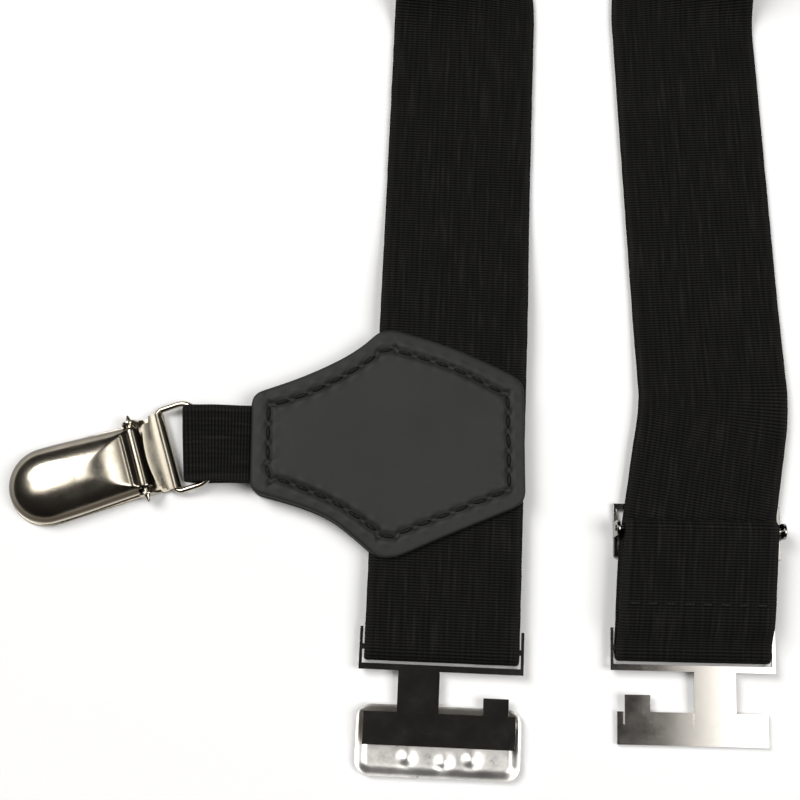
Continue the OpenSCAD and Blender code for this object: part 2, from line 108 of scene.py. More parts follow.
# %% Turn a bmesh into a finished piece
def finished(bm, name, material, sharp_angle=35, scale=MM):
    bmesh.ops.scale(bm, vec=(scale,) * 3, verts=bm.verts)
    bmesh.ops.recalc_face_normals(bm, faces=bm.faces)
    for face in bm.faces:
        face.smooth = True
    for edge in bm.edges:
        edge.smooth = edge.calc_face_angle(0) < math.radians(sharp_angle)
    mesh = bpy.data.meshes.new(name)
    bm.to_mesh(mesh)
    bm.free()
    mesh.materials.append(material)
    piece = bpy.data.objects.new(name, mesh)
    bpy.context.scene.collection.objects.link(piece)
    size = [round(max(c) - min(c), 1) for c in zip(*(v.co / MM for v in mesh.vertices))]
    print(name, len(mesh.vertices), "vertices,", size, "mm")
    return piece


# %% [markdown]
# Rounded edges would also bend the shading of the flat faces beside them, and a mirror shows that at
# once. A Weighted Normal modifier lets the large faces decide, so a stamped plate stays flat.


# %% Flat faces that shade flat
def keep_flat(piece):
    weighted = piece.modifiers.new("flat faces", "WEIGHTED_NORMAL")
    weighted.weight = 100
    weighted.keep_sharp = True
    return piece


# %% [markdown]
# A flat metal or leather blank is an outline that is filled, pulled up to its thickness and given
# rounded edges. Stamped sheet metal has such edges on every side, and they catch the light.


# %% Blanks with rounded edges
def blank(bm, outline, low, high, round_by=0.12, segments=2):
    rim = [bm.verts.new((x, y, low)) for x, y in outline]
    face = bm.faces.new(rim)
    pulled = bmesh.ops.extrude_face_region(bm, geom=[face])["geom"]
    top = [v for v in pulled if isinstance(v, bmesh.types.BMVert)]
    bmesh.ops.translate(bm, vec=(0, 0, high - low), verts=top)
    edges = {e for v in rim + top for e in v.link_edges if e.calc_face_angle(0) > 0.4}
    bmesh.ops.bevel(
        bm, geom=list(edges), offset=round_by, offset_type="OFFSET", segments=segments,
        profile=0.5, affect="EDGES", material=-1, clamp_overlap=True,
    )


def box_outline(x0, x1, y0, y1):
    return [(x0, y0), (x1, y0), (x1, y1), (x0, y1)]


# %% [markdown]
# Pressed sheet is modelled as one skin and then given its wall. The skin is doubled, and the copy is
# pushed back along the surface's own normals. At a thin point this stays calm, where a solidify with
# even thickness would throw long spikes.


# %% Wall of a pressed sheet
def give_wall(bm, faces, thickness):
    made = bmesh.ops.extrude_face_region(bm, geom=faces, use_keep_orig=True)["geom"]
    bm.normal_update()
    skin = [v for v in made if isinstance(v, bmesh.types.BMVert)]
    for v, push in [(v, v.normal * thickness) for v in skin]:
        v.co -= push


def face_up(bm):
    """Open sheets are turned so that their outer side looks up."""
    bmesh.ops.recalc_face_normals(bm, faces=bm.faces)
    if sum(f.normal.z * f.calc_area() for f in bm.faces) < 0:
        bmesh.ops.reverse_faces(bm, faces=bm.faces)


def smooth_step(a, b, x):
    t = min(1.0, max(0.0, (x - a) / (b - a)))
    return t * t * (3 - 2 * t)


def arc_angles(start, sweep, steps):
    return [start + sweep * i / steps for i in range(steps + 1)]


def settle(piece, slot, body, *nodes):
    """The piece rides on a body and takes the place of these nodes. The slot is not used."""
    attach(piece, body)
    if nodes:
        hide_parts(*nodes)


# %% [markdown]
# ## Materials
# A few finishes cover the garter: ribbed elastic, smooth leather, sewing thread and nickel plate.
# Small patterns that several finishes share are node groups, so each is built once.


# %% Node tools
def new_material(name):
    material = bpy.data.materials.new(name)
    material.use_nodes = True
    tree = material.node_tree
    return material, tree, tree.nodes["Principled BSDF"]


def group_with(name, inputs, outputs):
    group = bpy.data.node_groups.new(name, "ShaderNodeTree")
    for label, kind, value in inputs:
        socket = group.interface.new_socket(label, in_out="INPUT", socket_type=kind)
        if value is not None:
            socket.default_value = value
    for label, kind in outputs:
        group.interface.new_socket(label, in_out="OUTPUT", socket_type=kind)
    return group, group.nodes.new("NodeGroupInput"), group.nodes.new("NodeGroupOutput")


def place(tree, group):
    node = tree.nodes.new("ShaderNodeGroup")
    node.node_tree = group
    return node


def math_node(tree, operation, a, b=None, clamp=False):
    node = tree.nodes.new("ShaderNodeMath")
    node.operation = operation
    node.use_clamp = clamp
    for i, value in enumerate((a, b)):
        if value is None:
            continue
        if hasattr(value, "is_linked"):
            tree.links.new(value, node.inputs[i])
        else:
            node.inputs[i].default_value = value
    return node.outputs[0]


def noise_node(tree, vector, scale, detail=2.0):
    node = tree.nodes.new("ShaderNodeTexNoise")
    node.inputs["Scale"].default_value = scale
    node.inputs["Detail"].default_value = detail
    tree.links.new(vector, node.inputs["Vector"])
    return node.outputs[0]


def map_range(tree, value, low, high, to_low=0.0, to_high=1.0, smooth=False):
    node = tree.nodes.new("ShaderNodeMapRange")
    if smooth:
        node.interpolation_type = "SMOOTHSTEP"
    numbers = {"From Min": low, "From Max": high, "To Min": to_low, "To Max": to_high}
    for label, number in numbers.items():
        node.inputs[label].default_value = number
    tree.links.new(value, node.inputs["Value"])
    return node.outputs[0]


def ramp(tree, factor, first, second, places=(0.0, 1.0)):
    node = tree.nodes.new("ShaderNodeValToRGB")
    for element, colour, spot in zip(node.color_ramp.elements, (first, second), places):
        element.position = spot
        element.color = (*colour, 1)
    tree.links.new(factor, node.inputs[0])
    return node.outputs[0]


def colour_mix(tree, factor, a, b):
    """A mix of two colours. Each is a number triple or another node's socket."""
    mix = tree.nodes.new("ShaderNodeMix")
    mix.data_type = "RGBA"
    for label, colour in (("A", a), ("B", b)):
        if hasattr(colour, "is_linked"):
            tree.links.new(colour, mix.inputs[label])
        else:
            mix.inputs[label].default_value = (*colour, 1)
    tree.links.new(factor, mix.inputs["Factor"])
    return mix.outputs["Result"]


def add_bump(tree, skin, height, strength, distance):
    bump = tree.nodes.new("ShaderNodeBump")
    bump.inputs["Strength"].default_value = strength
    bump.inputs["Distance"].default_value = distance * MM
    tree.links.new(height, bump.inputs["Height"])
    tree.links.new(bump.outputs[0], skin.inputs["Normal"])


def split(tree, vector):
    node = tree.nodes.new("ShaderNodeSeparateXYZ")
    tree.links.new(vector, node.inputs[0])
    return node.outputs


def stretched(tree, vector, scale, turn=0.0):
    node = tree.nodes.new("ShaderNodeMapping")
    node.inputs["Scale"].default_value = scale
    node.inputs["Rotation"].default_value = (0, 0, turn)
    tree.links.new(vector, node.inputs["Vector"])
    return node.outputs[0]


def own_place(tree):
    return tree.nodes.new("ShaderNodeTexCoord").outputs["Object"]


# %% [markdown]
# Elastic webbing is woven across in fine ribs, about two to the millimetre, over rubber cords that
# run along it. The cords show as faint lines of uneven strength. The group reads the piece's own UV
# map, which is in metres: U across the webbing, V along it.


# %% Webbing pattern
def webbing_group():
    group, start, end = group_with(
        "webbing_pattern",
        [("UV", "NodeSocketVector", None), ("Ribs per metre", "NodeSocketFloat", 2150.0),
         ("Cords per metre", "NodeSocketFloat", 1150.0)],
        [("Height", "NodeSocketFloat"), ("Shade", "NodeSocketFloat")],
    )
    uv = start.outputs["UV"]
    across, along = split(group, uv)[:2]
    shift = math_node(group, "MULTIPLY", noise_node(group, uv, 900, 3), 1.6)
    ribs = math_node(group, "MULTIPLY", along, start.outputs["Ribs per metre"])
    rib_angle = math_node(group, "ADD", math_node(group, "MULTIPLY", ribs, 2 * math.pi), shift)
    rib_wave = math_node(group, "SINE", rib_angle)
    cords = math_node(group, "MULTIPLY", across, start.outputs["Cords per metre"])
    cord_wave = math_node(group, "SINE", math_node(group, "MULTIPLY", cords, 2 * math.pi))
    # uneven cords: noise that changes quickly across the webbing and slowly along it
    streaks = noise_node(group, stretched(group, uv, (1500, 130, 1)), 1, 4)
    fuzz = noise_node(group, uv, 5200)
    streak = math_node(group, "MULTIPLY", streaks, 1.5)
    woven = math_node(group, "MULTIPLY", math_node(group, "ADD", rib_wave, 1.0), streak)
    height = math_node(group, "ADD", woven, math_node(group, "MULTIPLY", cord_wave, 0.2))
    height = math_node(group, "ADD", height, math_node(group, "MULTIPLY", fuzz, 1.2))
    group.links.new(height, end.inputs["Height"])
    # a few warp yarns stand out from the rest, each for a few millimetres
    far_apart = math_node(group, "SUBTRACT", streaks, 0.56, clamp=True)
    meshed = math_node(group, "ADD", woven, math_node(group, "MULTIPLY", cord_wave, 0.16))
    meshed = math_node(group, "ADD", meshed, math_node(group, "MULTIPLY", far_apart, 4.5))
    shade = math_node(group, "ADD", math_node(group, "MULTIPLY", meshed, 0.38), 0.1)
    shade = math_node(group, "MULTIPLY", shade, math_node(group, "ADD", fuzz, 0.5))
    group.links.new(shade, end.inputs["Shade"])
    return group


WEBBING = webbing_group()


# %% [markdown]
# The dyed elastic is almost black. A weak specular and a little sheen keep it from looking like
# plastic, and the two selvedges are a touch lighter, because their yarn lies the other way.


# %% Elastic material
def elastic_material(name, width, ribs=2150.0, cords=1150.0):
    material, tree, skin = new_material(name)
    uv = tree.nodes.new("ShaderNodeUVMap")
    uv.uv_map = "cloth"
    pattern = place(tree, WEBBING)
    pattern.inputs["Ribs per metre"].default_value = ribs
    pattern.inputs["Cords per metre"].default_value = cords
    tree.links.new(uv.outputs[0], pattern.inputs["UV"])
    across = split(tree, uv.outputs[0])[0]
    from_middle = math_node(tree, "ABSOLUTE", math_node(tree, "SUBTRACT", across, width / 2))
    edge = map_range(tree, from_middle, width / 2 - 1.15 * MM, width / 2 - 0.85 * MM)
    lift = math_node(tree, "MULTIPLY", edge, 0.22)
    shade = math_node(tree, "ADD", pattern.outputs["Shade"], lift, clamp=True)
    colour = colour_mix(tree, shade, (0.0008, 0.0008, 0.0008), (0.0185, 0.0178, 0.0168))
    tree.links.new(colour, skin.inputs["Base Color"])
    add_bump(tree, skin, pattern.outputs["Height"], 0.55, 0.09)
    skin.inputs["Roughness"].default_value = 0.82
    skin.inputs["Specular IOR Level"].default_value = 0.05
    skin.inputs["Sheen Weight"].default_value = 0.01
    skin.inputs["Sheen Roughness"].default_value = 0.4
    return material


BAND_WIDTH = 25.0
STRAP_WIDTH = 12.8
band_elastic = elastic_material("black_elastic_wide", BAND_WIDTH * MM)
strap_elastic = elastic_material(
    "black_elastic_narrow", STRAP_WIDTH * MM, ribs=1900.0, cords=1300.0
)


# %% [markdown]
# Garter leather is smooth and finished dark grey. Its grain is fine and low, with soft cloudy wear
# over it, so the shine breaks up without a visible pattern.


# %% Leather material
def leather_material():
    material, tree, skin = new_material("charcoal_leather")
    where = own_place(tree)
    grain = tree.nodes.new("ShaderNodeTexVoronoi")
    grain.inputs["Scale"].default_value = 2600
    tree.links.new(where, grain.inputs["Vector"])
    pores = noise_node(tree, where, 1500, 4)
    clouds = noise_node(tree, where, 110, 5)
    colour = ramp(
        tree, clouds, (0.0125, 0.0128, 0.0118), (0.0205, 0.0208, 0.0192), places=(0.3, 0.75)
    )
    tree.links.new(colour, skin.inputs["Base Color"])
    tree.links.new(map_range(tree, clouds, 0, 1, 0.5, 0.66), skin.inputs["Roughness"])
    height = math_node(tree, "ADD", math_node(tree, "MULTIPLY", grain.outputs[0], 0.5), pores)
    add_bump(tree, skin, height, 0.22, 0.05)
    skin.inputs["Specular IOR Level"].default_value = 0.3
    return material


# %% Thread material
def thread_material():
    material, tree, skin = new_material("black_thread")
    twist = tree.nodes.new("ShaderNodeTexWave")
    twist.bands_direction = "DIAGONAL"
    twist.inputs["Scale"].default_value = 1400
    twist.inputs["Distortion"].default_value = 2
    tree.links.new(own_place(tree), twist.inputs["Vector"])
    colour = ramp(tree, twist.outputs[0], (0.0016, 0.0016, 0.0017), (0.009, 0.009, 0.0088))
    tree.links.new(colour, skin.inputs["Base Color"])
    add_bump(tree, skin, twist.outputs[0], 0.6, 0.08)
    skin.inputs["Roughness"].default_value = 0.6
    skin.inputs["Specular IOR Level"].default_value = 0.25
    return material


# %% [markdown]
# Nickel plate over steel is warm grey. Handling leaves a haze of fine scratches and small dull
# spots. The group gives a roughness and a height, and each metal sets how strong they are.


# %% Nickel finish
def wear_group():
    group, start, end = group_with(
        "plate_wear",
        [("Smooth", "NodeSocketFloat", 0.08), ("Dull", "NodeSocketFloat", 0.2)],
        [(label, "NodeSocketFloat") for label in ("Roughness", "Height", "Tarnish")],
    )
    where = own_place(group)
    clouds = noise_node(group, where, 330, 5)
    specks = noise_node(group, where, 2400, 3)
    lines = noise_node(group, stretched(group, where, (350, 3800, 1200), turn=0.5), 1)
    amount = math_node(group, "ADD", clouds, math_node(group, "MULTIPLY", specks, 0.5))
    roughness = map_range(group, amount, 0.5, 1.0)
    group.links.new(start.outputs["Smooth"], roughness.node.inputs["To Min"])
    group.links.new(start.outputs["Dull"], roughness.node.inputs["To Max"])
    for label, value in (("Roughness", roughness), ("Height", lines), ("Tarnish", clouds)):
        group.links.new(value, end.inputs[label])
    return group


PLATE_WEAR = wear_group()


# heights of the cover's low rim, which is kept bright below the painted dark reflection on the flanks
FLANK_LOW, FLANK_HIGH = 1.5 * MM, 2.3 * MM


def nickel_material(name, bright, dark, smooth, dull, scratch, crown=None):
    """Plated metal. A crown is two heights between which a painted dark reflection on the flanks
    fades into bright metal.
    """
    material, tree, skin = new_material(name)
    wear = place(tree, PLATE_WEAR)
    wear.inputs["Smooth"].default_value = smooth
    wear.inputs["Dull"].default_value = dull
    plated = ramp(tree, wear.outputs["Tarnish"], bright, dark, places=(0.35, 0.8))
    if crown:
        # painted dark reflection: the steep flanks are tinted dark by height, in place of the dark
        # surroundings they would mirror, while the low rim stays bright
        height = split(tree, own_place(tree))[2]
        upper = map_range(tree, height, crown[0] * MM, crown[1] * MM, smooth=True)
        rim = map_range(tree, height, FLANK_LOW, FLANK_HIGH, 1.0, 0.0, smooth=True)
        bright_part = math_node(tree, "ADD", upper, rim, clamp=True)
        plated = colour_mix(tree, bright_part, (0.075, 0.058, 0.038), plated)
    tree.links.new(plated, skin.inputs["Base Color"])
    tree.links.new(wear.outputs["Roughness"], skin.inputs["Roughness"])
    add_bump(tree, skin, wear.outputs["Height"], scratch, 0.01)
    skin.inputs["Metallic"].default_value = 1.0
    return material


# %% Grip material
def grip_material():
    material, tree, skin = new_material("black_grip")
    speck = noise_node(tree, own_place(tree), 2500)
    colour = ramp(tree, speck, (0.012, 0.012, 0.012), (0.03, 0.03, 0.03))
    tree.links.new(colour, skin.inputs["Base Color"])
    skin.inputs["Roughness"].default_value = 0.7
    return material


leather = leather_material()
thread = thread_material()
bright_nickel = nickel_material(
    "bright_nickel", (0.83, 0.81, 0.77), (0.76, 0.73, 0.68), 0.06, 0.11, 0.2
)
# the adjuster's nickel is given a dark base colour, a painted dark reflection that makes it read
# black from every side
slider_nickel = nickel_material(
    "slider_nickel", (0.30, 0.29, 0.27), (0.20, 0.19, 0.17), 0.07, 0.14, 0.25
)
pressed_nickel = nickel_material(
    "pressed_nickel", (0.86, 0.85, 0.82), (0.74, 0.72, 0.68), 0.26, 0.4, 0.4
)
satin_nickel = nickel_material(
    "satin_nickel", (0.56, 0.51, 0.42), (0.42, 0.38, 0.30), 0.16, 0.26, 0.4
)
# the cover's flanks get a painted dark reflection that fades into bright metal between these heights,
# in mm
cover_nickel = nickel_material(
    "cover_nickel", (0.80, 0.74, 0.62), (0.64, 0.57, 0.46), 0.15, 0.24, 0.4, crown=(2.6, 4.9)
)
grip = grip_material()

# %% [markdown]
# ## Webbing
# Webbing is a slab that follows a route. The slab starts as a flat grid, and each row of the grid is
# carried to one station of the route, which says where the webbing's middle is and which way its
# width points. The UV map keeps the flat place of each point, so the weave never stretches.


# %% Slab of webbing along a route
SELVEDGE = 0.42


def webbing_rows(stations):
    """Each station's place, sideways direction, normal and distance along the route."""
    rows = []
    travelled = 0.0
    for i, (spot, side) in enumerate(stations):
        ahead = stations[min(i + 1, len(stations) - 1)][0]
        behind = stations[max(i - 1, 0)][0]
        if i:
            travelled += (spot - stations[i - 1][0]).length
        along = (ahead - behind).normalized()
        rows.append((spot, side.normalized(), side.cross(along).normalized(), travelled))
    return rows


def webbing(name, stations, width, thickness, material, columns=20):
    """A slab with rounded selvedges. Its two faces keep the same UV map."""
    rows = webbing_rows(stations)
    bm = bmesh.new()
    bmesh.ops.create_grid(bm, x_segments=columns, y_segments=len(rows) - 1, size=0.5)
    pulled = bmesh.ops.extrude_face_region(bm, geom=list(bm.faces))["geom"]
    for v in pulled:
        if isinstance(v, bmesh.types.BMVert):
            v.co.z = 1.0
    uv_layer = bm.loops.layers.uv.new("cloth")
    flat = {}
    for v in bm.verts:
        row = round((v.co.y + 0.5) * (len(rows) - 1))
        spot, side, up, travelled = rows[row]
        # columns crowd towards the selvedges, where the slab turns round
        across = math.sin(v.co.x * math.pi) / 2 * width
        over = max(0.0, abs(across) - (width / 2 - SELVEDGE)) / SELVEDGE
        half = thickness / 2 * math.sqrt(max(0.0, 1 - 0.85 * over * over))
        # a faint groove marks the selvedge off from the ribs
        from_edge = width / 2 - abs(across)
        half *= 1 - 0.07 * (1 - smooth_step(1.15, 1.5, from_edge)) * smooth_step(0.8, 1.15, from_edge)
        edge_shift = 0.05 * noise.noise(Vector((travelled * 0.35, across * 0.02, 3.0)))
        wave = 0.03 * noise.noise(Vector((travelled * 0.5, across * 0.25, 7.0)))
        flat[v] = ((across + width / 2) * MM, travelled * MM)
        height = (half if v.co.z > 0.5 else -half) + wave
        v.co = spot + side * (across + edge_shift) + up * height
    for face in bm.faces:
        for loop in face.loops:
            loop[uv_layer].uv = flat[loop.vert]
    return finished(bm, name, material, sharp_angle=70)


# %% [markdown]
# The band's own route repeats the design's few sizes. It starts under the patch, runs down to the
# left clasp bar, turns round it, comes back up the leg, stands on edge in an arch and comes down the
# right leg to the adjuster. Headings are clockwise from +Y.

# %% Driving sizes of the band
WEB = 1.1
LEATHER = 1.2
FOLD_IN = math.hypot(0.45, 0.4) + 0.05
FOLD_SLACK = 0.4
SLIDE_CLEAR = 0.85
PATCH_WEB_Z = LEATHER + WEB
TWIST_Y, ARCH_Y = 74.0, 108.0
RIGHT_LEAN = math.radians(1.85)
BEND_RADIUS, SLIDE_STRAIGHT = 35.0, 17.5
TAIL_LENGTH, ADJUSTER_TONGUE = 42.6, 5.9

left_pivot = Vector(joints["left_clasp_swing"]["pos_m"]) / MM
left_side = Vector(joints["left_clasp_swing"]["axis"])
left_along = Vector((0, 0, 1)).cross(left_side)
right_pivot = Vector(joints["right_clasp_swing"]["pos_m"]) / MM
right_side = Vector(joints["right_clasp_swing"]["axis"])
right_out = Vector((0, 0, 1)).cross(right_side)
slide_along = Vector(joints["loop_slide"]["axis"])
bar_low, bar_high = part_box("slider_bar")
slider_centre = (Vector(bar_low) + Vector(bar_high)) / 2 / MM
right_along = (slider_centre - right_pivot).to_2d().to_3d().normalized()
print("left pivot", left_pivot, "slider", slider_centre)


# %% Route of the band
def on_leg(pivot, side, along, v, z):
    """A point on a leg: v along it from the clasp bar, z above the rest plane."""
    spot = pivot + along * v
    return Vector((spot.x, spot.y, z)), side


def turn_points(start, radius, h0, h1, steps):
    return [
        (start + radius * Vector((math.cos(h0) - math.cos(h), math.sin(h) - math.sin(h0))), h)
        for h in arc_angles(h0, h1 - h0, steps)
    ]


def line_points(a, b, heading, step=0.8):
    steps = max(1, round((b - a).length / step))
    return [(a.lerp(b, i / steps), heading) for i in range(1, steps)]


left_heading = math.atan2(left_along.x, left_along.y)
right_heading = math.pi - RIGHT_LEAN
slide_heading = math.pi + math.atan2(slide_along.x, slide_along.y)
leg_start = (left_pivot + left_along * 1.0).to_2d()
slide_xy, slider_xy = slide_along.to_2d(), slider_centre.to_2d()
slide_top = slider_xy + slide_xy * SLIDE_STRAIGHT
bend_top = slide_top - BEND_RADIUS * Vector((
    math.cos(right_heading) - math.cos(slide_heading),
    math.sin(slide_heading) - math.sin(right_heading),
))
arch_start = leg_start + left_along.to_2d() * ((ARCH_Y - leg_start.y) / left_along.y)
slope = math.tan(RIGHT_LEAN)
arch_run = math.cos(left_heading) - math.cos(right_heading)
arch_drop = math.sin(right_heading) - math.sin(left_heading)
arch_gap = bend_top.x - slope * (ARCH_Y - bend_top.y) - arch_start.x
arch_radius = arch_gap / (arch_run + slope * arch_drop)
arch = turn_points(arch_start, arch_radius, left_heading, right_heading, 72)
bend = turn_points(bend_top, BEND_RADIUS, right_heading, slide_heading, 10)
slide_end = slider_xy - slide_xy * ADJUSTER_TONGUE
print("arch radius", round(arch_radius, 2))


def band_height(x, y):
    """Height of the flat band's middle above the rest plane."""
    if x < (left_pivot.x + slider_xy.x) / 2:
        fold_side = left_pivot.z + FOLD_IN - PATCH_WEB_Z
        lift = PATCH_WEB_Z * (1 - smooth_step(20, 47, y))
        lift += fold_side * (1 - smooth_step(-32, -22, y))
    else:
        lift = SLIDE_CLEAR * (1 - smooth_step(slide_top.y + 1, slide_top.y + 24, y))
    return lift + WEB / 2


def band_station(point, heading):
    roll = math.radians(90) * smooth_step(TWIST_Y, ARCH_Y, point.y)
    flat_side = Vector((math.cos(heading), -math.sin(heading), 0))
    side = flat_side * math.cos(roll) - Vector((0, 0, 1)) * math.sin(roll)
    z = band_height(point.x, point.y) * math.cos(roll) + BAND_WIDTH / 2 * math.sin(roll)
    return Vector((point.x, point.y, z)), side


def fold_stations(pivot, side, along, radius, steps=14):
    """Half a turn round a bar, from the layer behind to the layer in front, with a little slack."""
    reach = along * (radius + FOLD_SLACK)
    return [
        (pivot - reach * math.sin(a) - Vector((0, 0, radius * math.cos(a))), side)
        for a in arc_angles(0, math.pi, steps)
    ]


tail_top = LEATHER + WEB / 2
back_low = left_pivot.z - FOLD_IN - WEB / 2
left_tail = [
    on_leg(left_pivot, left_side, left_along, v,
           back_low + (tail_top - back_low) * smooth_step(1, 13.5, v))
    for v in [TAIL_LENGTH - 0.8 * i for i in range(53)]
]
left_fold = fold_stations(left_pivot, left_side, left_along, FOLD_IN + WEB / 2)
leg_path = (
    line_points(leg_start - left_along.to_2d() * 0.6, arch_start, left_heading)
    + arch + line_points(arch[-1][0], bend_top, right_heading) + bend
    + line_points(bend[-1][0], slide_end, slide_heading) + [(slide_end, slide_heading)]
)
band_route = left_tail + left_fold + [band_station(p, h) for p, h in leg_path]

calf_band = webbing("calf_band", band_route, BAND_WIDTH, WEB, band_elastic)
settle(calf_band, "webbing", "band", "elastic_band", "left_end_fold")

# %% [markdown]
# The right end is one more length of the same webbing. It leaves the adjuster behind, turns round
# the clasp bar, comes back in front and wraps round the adjuster's bar, where its hem is sewn down.
# When the adjuster slides, the layers between it and the clasp grow longer.

# %% Right loop and hem
loop_length = (slider_xy - right_pivot.to_2d()).length
bar_z = slider_centre.z
BAR_RADIUS, BAR_GAP = 0.5, 0.05
wrap_radius = BAR_RADIUS + BAR_GAP + WEB / 2
HEM_END, HEM_BEND = 6.0, 13.0


def loop_station(v, z):
    return on_leg(right_pivot, right_side, right_along, v, z)


def stretch(v0, v1, z0, z1, step=0.5):
    steps = max(2, round(abs(v1 - v0) / step))
    return [
        loop_station(v0 + (v1 - v0) * i / steps, z0 + (z1 - z0) * smooth_step(0, 1, i / steps))
        for i in range(steps + 1)
    ]


back_z = right_pivot.z - FOLD_IN - WEB / 2
front_z = right_pivot.z + FOLD_IN + WEB / 2
band_end, band_end_side = band_station(slide_end, slide_heading)
under_from = band_end + slide_along * 0.8
under_to, under_side = loop_station(3.0, back_z)
under_route = []
for i in range(29):
    t = i / 28
    spot = under_from.lerp(under_to, t)
    spot.z = band_end.z - 0.02 + (back_z - band_end.z) * smooth_step(0.1, 1, t)
    under_route.append((spot, (-band_end_side).lerp(under_side, smooth_step(0.1, 0.9, t))))
under_web = webbing("adjuster_under_web", under_route, BAND_WIDTH - 0.06, WEB - 0.04, band_elastic)
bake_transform(under_web)

wrap_top = [
    (slider_centre + wrap_radius * (right_out * math.sin(a) + Vector((0, 0, math.cos(a)))),
     right_side)
    for a in arc_angles(0, math.pi, 14)
]
front_layer = stretch(0.4, 5.2, front_z, bar_z + wrap_radius - 0.25) \
    + stretch(5.6, loop_length - 0.5, bar_z + wrap_radius - 0.24, bar_z + wrap_radius)
hem_tail = stretch(loop_length - 0.5, HEM_BEND, bar_z - wrap_radius, bar_z - wrap_radius) \
    + stretch(HEM_BEND - 0.5, HEM_END, bar_z - wrap_radius + 0.04, bar_z + wrap_radius - WEB - 0.3)
hem_route = stretch(3.3, 0.4, back_z, back_z, step=0.6) \
    + fold_stations(right_pivot, right_side, right_out, FOLD_IN + WEB / 2) \
    + front_layer + wrap_top + hem_tail
hem_web = webbing("adjuster_loop_web", hem_route, BAND_WIDTH, WEB, band_elastic)
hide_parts("adjuster_fold", "adjuster_hem")
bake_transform(hem_web)

# %% [markdown]
# The clip strap is a narrower elastic. It comes out between the two leathers, parts round the ring's
# bar and goes back in. With nothing pulling on it the loop stands a little open.

# %% Clip strap
ring_pivot = Vector(joints["ring_swing"]["pos_m"]) / MM
patch_low = Vector(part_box("patch_back")[0]) / MM
LEG_SLOPE, STRAP_GAP = 0.0437, 0.8
strap_inner = left_pivot.x + 34 * LEG_SLOPE - BAND_WIDTH / 2 - STRAP_GAP
STRAP_FOLD_X, STRAP_LOOP = -32.35, 0.72


def strap_side(x):
    """The strap leans a little, more so towards its loop."""
    lean = math.radians(3.0) * smooth_step(-24, -34, x)
    return Vector((math.sin(lean), -math.cos(lean), 0))


def strap_layer(sign, xs):
    stations = []
    for x in xs:
        part = 1 - smooth_step(STRAP_FOLD_X + 3.0, patch_low.x + 0.4, x)
        z = PATCH_WEB_Z + sign * (WEB / 2 + STRAP_LOOP * part)
        stations.append((Vector((x, 0.1 * part, z)), strap_side(x)))
    return stations


strap_xs = [strap_inner - 0.6 * i for i in range(200) if strap_inner - 0.6 * i > STRAP_FOLD_X + 0.2]
strap_turn = [
    (Vector((STRAP_FOLD_X - (STRAP_LOOP + WEB / 2) * math.sin(a), 0.1,
             PATCH_WEB_Z + (STRAP_LOOP + WEB / 2) * math.cos(a))), strap_side(STRAP_FOLD_X))
    for a in arc_angles(0, math.pi, 16)
]
strap_route = strap_layer(1, strap_xs) + strap_turn + strap_layer(-1, strap_xs[::-1])
clip_strap = webbing("clip_strap_web", strap_route, STRAP_WIDTH, WEB, strap_elastic, columns=14)
settle(clip_strap, "webbing", "band", "clip_strap")

# %% [markdown]
# ## Leather patch
# Two equal pieces of leather are sewn together over the band and the strap. Each is cut with a bevel
# knife, so its edges are soft, and the seam pulls it down in small puffs between the stitches. The
# blank is remeshed finely, and then each point is lowered or raised by its distance from the seam.

# %% Outline and seam of the patch
PATCH_CORNERS = [
    (-22.7, -8.2, 1.9), (-22.7, 8.2, 1.9), (-14.7, 10.9, 6), (-8.2, 13.9, 4), (-4.4, 16.3, 3),
    (-1.4, 19.0, 1.3), (1.2, 19.3, 1.6), (11.9, 15.9, 9), (21.4, 11.2, 1.8), (22.7, 9.6, 1.2),
    (22.6, -9.4, 1.4), (21.0, -10.9, 1.8), (9.8, -15.4, 9), (1.4, -19.0, 1.6), (-1.6, -19.2, 1.4),
    (-6.2, -15.2, 4), (-9.8, -12.4, 4), (-15.0, -10.3, 6),
]
SEAM_CORNERS = [
    (-19.8, -5.6, 1.2), (-19.8, 6.1, 1.4), (-13.8, 7.9, 5), (-6.3, 11.7, 4), (-0.2, 16.0, 1.6),
    (10.6, 12.9, 8), (19.9, 7.9, 1.6), (19.9, -7.9, 1.6), (9.4, -12.0, 8), (-0.2, -15.9, 1.6),
    (-7.0, -10.8, 4), (-14.0, -7.5, 5),
]


def soft_outline(corners, steps=6):
    points = []
    count = len(corners)
    for i, (x, y, radius) in enumerate(corners):
        here = Vector((x, y))
        before = Vector(corners[i - 1][:2]) - here
        after = Vector(corners[(i + 1) % count][:2]) - here
        a = here + before.normalized() * min(radius, before.length * 0.48)
        b = here + after.normalized() * min(radius, after.length * 0.48)
        for k in range(steps + 1):
            t = k / steps
            points.append(a * (1 - t) ** 2 + here * 2 * t * (1 - t) + b * t * t)
    return points


def evenly(points, pitch):
    """Points at an even pitch round a closed line, each with the line's direction there."""
    lengths = [(points[(i + 1) % len(points)] - p).length for i, p in enumerate(points)]
    total = sum(lengths)
    count = round(total / pitch)
    spots = []
    i, passed = 0, 0.0
    for k in range(count):
        goal = total * (k + 0.5) / count
        while passed + lengths[i] < goal:
            passed += lengths[i]
            i += 1
        a, b = points[i], points[(i + 1) % len(points)]
        spots.append((a.lerp(b, (goal - passed) / max(lengths[i], 1e-6)), (b - a).normalized()))
    return spots


patch_outline = soft_outline(PATCH_CORNERS)
seam_line = soft_outline(SEAM_CORNERS)
STITCH_PITCH, STITCH_LENGTH = 3.2, 2.35
stitches = evenly(seam_line, STITCH_PITCH)
print("stitches round the patch", len(stitches))


# %% [markdown]
# Distances to the edge and to the seam drive the relief. A look-up by nearest stitch is enough for
# the puffs, because a puff only spans the leather beside its own stitch.


